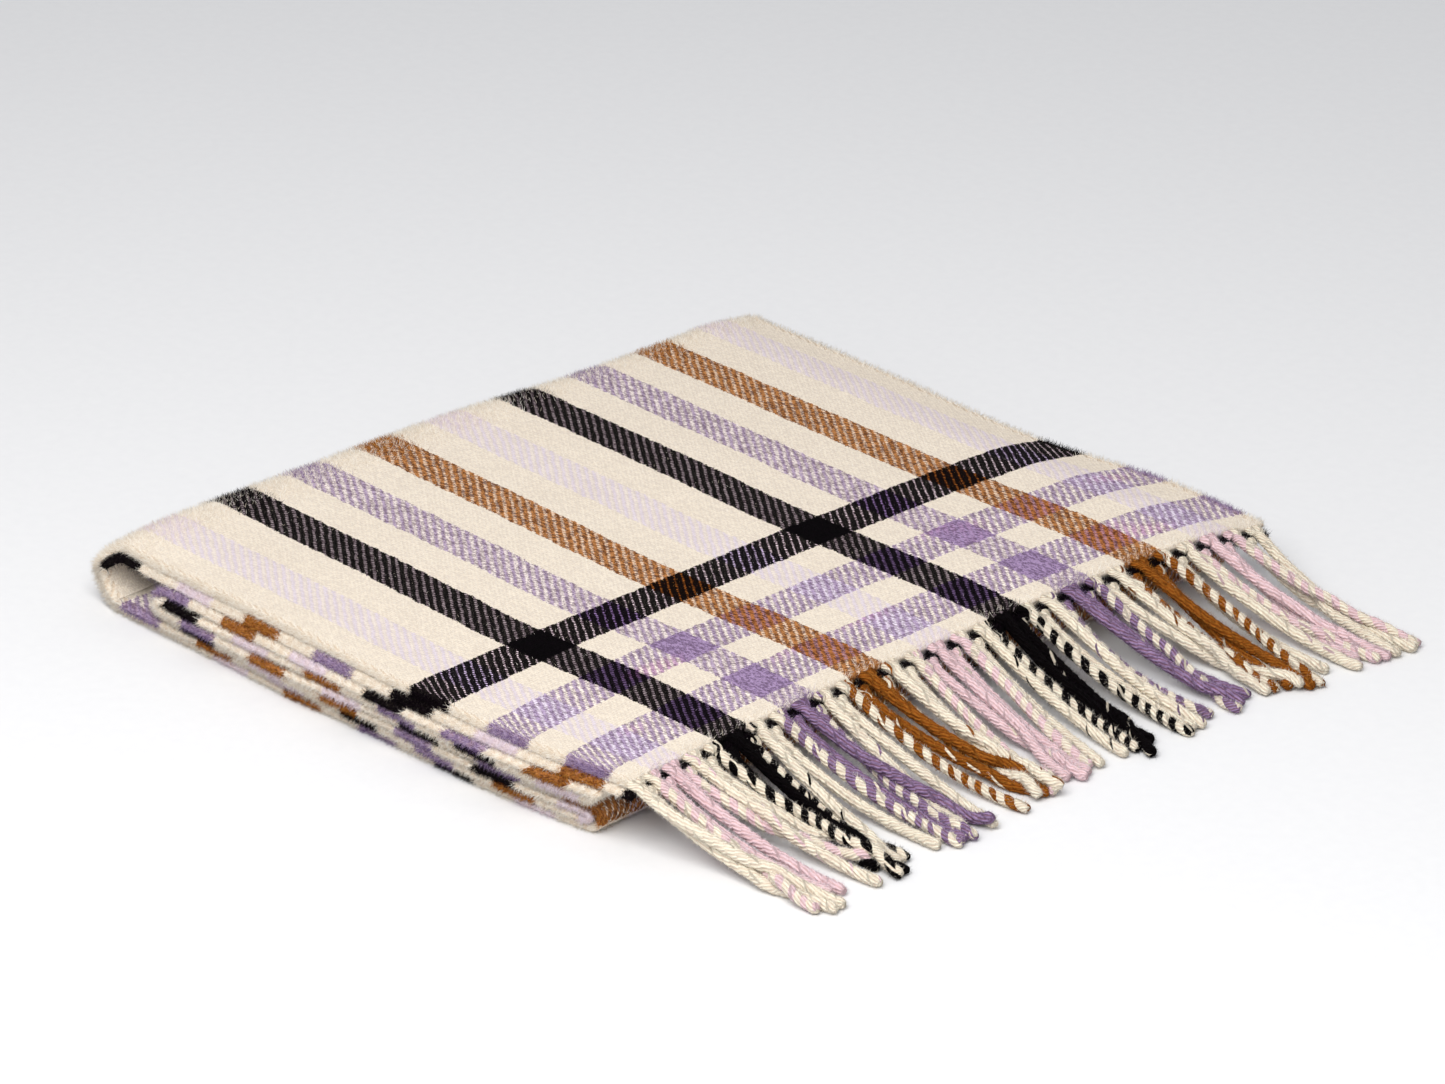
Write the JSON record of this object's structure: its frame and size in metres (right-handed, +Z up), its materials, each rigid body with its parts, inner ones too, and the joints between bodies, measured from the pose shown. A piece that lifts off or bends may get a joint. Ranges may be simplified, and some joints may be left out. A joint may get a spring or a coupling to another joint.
{
  "type": "folded throw blanket",
  "caption": "Fringed striped wool throw, folded in layers to a flat rectangular stack; the doubled top leaf turns back and its twisted fringe lifts.",
  "frame": {"origin": "on the surface that the folded stack lies on, under the centre of the bounding box of the cloth and its fringe", "axes": "+X along the warp stripes, from the left fold towards the fringe; +Y across the cloth, from the front selvedge to the back one; +Z up"},
  "size_m": [0.3141, 0.3, 0.0254],
  "materials": {
    "woven_cloth": "brushed wool twill with warp and weft stripes in cream, pale pink, black, lilac and tan",
    "rope_cream": "twisted wool rope, cream",
    "rope_pink": "twisted wool rope, pale pink",
    "rope_black": "twisted wool rope, plum black",
    "rope_lilac": "twisted wool rope, lilac",
    "rope_tan": "twisted wool rope, tan"
  },
  "bodies": {
    "base": {"fold_core_inner": "woven_cloth", "fold_core_outer": "woven_cloth", "fold_heart": "woven_cloth", "fold_left_lining": "woven_cloth", "fold_left_outer": "woven_cloth", "fold_low_inner": "woven_cloth", "fold_low_outer": "woven_cloth", "panel_3": "woven_cloth", "panel_4": "woven_cloth", "panel_5": "woven_cloth", "panel_6": "woven_cloth", "panel_7": "woven_cloth", "panel_8_bottom": "woven_cloth"},
    "leaf": {"panel_1_top": "woven_cloth", "panel_2": "woven_cloth"},
    "upper_fringe": {"upper_fringe_01_cream": "rope_cream", "upper_fringe_02_pink": "rope_pink", "upper_fringe_03_cream": "rope_cream", "upper_fringe_04_black": "rope_black", "upper_fringe_05_cream": "rope_cream", "upper_fringe_06_lilac": "rope_lilac", "upper_fringe_07_cream": "rope_cream", "upper_fringe_08_tan": "rope_tan", "upper_fringe_09_cream": "rope_cream", "upper_fringe_10_pink": "rope_pink", "upper_fringe_11_cream": "rope_cream", "upper_fringe_12_black": "rope_black", "upper_fringe_13_cream": "rope_cream", "upper_fringe_14_lilac": "rope_lilac", "upper_fringe_15_cream": "rope_cream", "upper_fringe_16_tan": "rope_tan", "upper_fringe_17_cream": "rope_cream", "upper_fringe_18_pink": "rope_pink", "upper_fringe_19_cream": "rope_cream"},
    "lower_fringe": {"lower_fringe_01_cream": "rope_cream", "lower_fringe_02_pink": "rope_pink", "lower_fringe_03_cream": "rope_cream", "lower_fringe_04_black": "rope_black", "lower_fringe_05_cream": "rope_cream", "lower_fringe_06_lilac": "rope_lilac", "lower_fringe_07_cream": "rope_cream", "lower_fringe_08_tan": "rope_tan", "lower_fringe_09_cream": "rope_cream", "lower_fringe_10_pink": "rope_pink", "lower_fringe_11_cream": "rope_cream", "lower_fringe_12_black": "rope_black", "lower_fringe_13_cream": "rope_cream", "lower_fringe_14_lilac": "rope_lilac", "lower_fringe_15_cream": "rope_cream", "lower_fringe_16_tan": "rope_tan", "lower_fringe_17_cream": "rope_cream", "lower_fringe_18_pink": "rope_pink", "lower_fringe_19_cream": "rope_cream"}
  },
  "joints": [
    {"name": "leaf_unfold", "type": "hinge", "parent": "base", "child": "leaf", "pos_m": [-0.157, 0, 0.01268], "axis": [0, -1, 0], "range_deg": [0, 180], "deforming": ["fold_left_outer", "fold_left_lining"]},
    {"name": "upper_fringe_lift", "type": "hinge", "parent": "leaf", "child": "upper_fringe", "pos_m": [0.086, 0, 0.02405], "axis": [0, 1, 0], "range_deg": [-110, 0]},
    {"name": "lower_fringe_lift", "type": "hinge", "parent": "leaf", "child": "lower_fringe", "pos_m": [0.09, 0, 0.0208], "axis": [0, 1, 0], "range_deg": [-80, 0]}
  ]
}
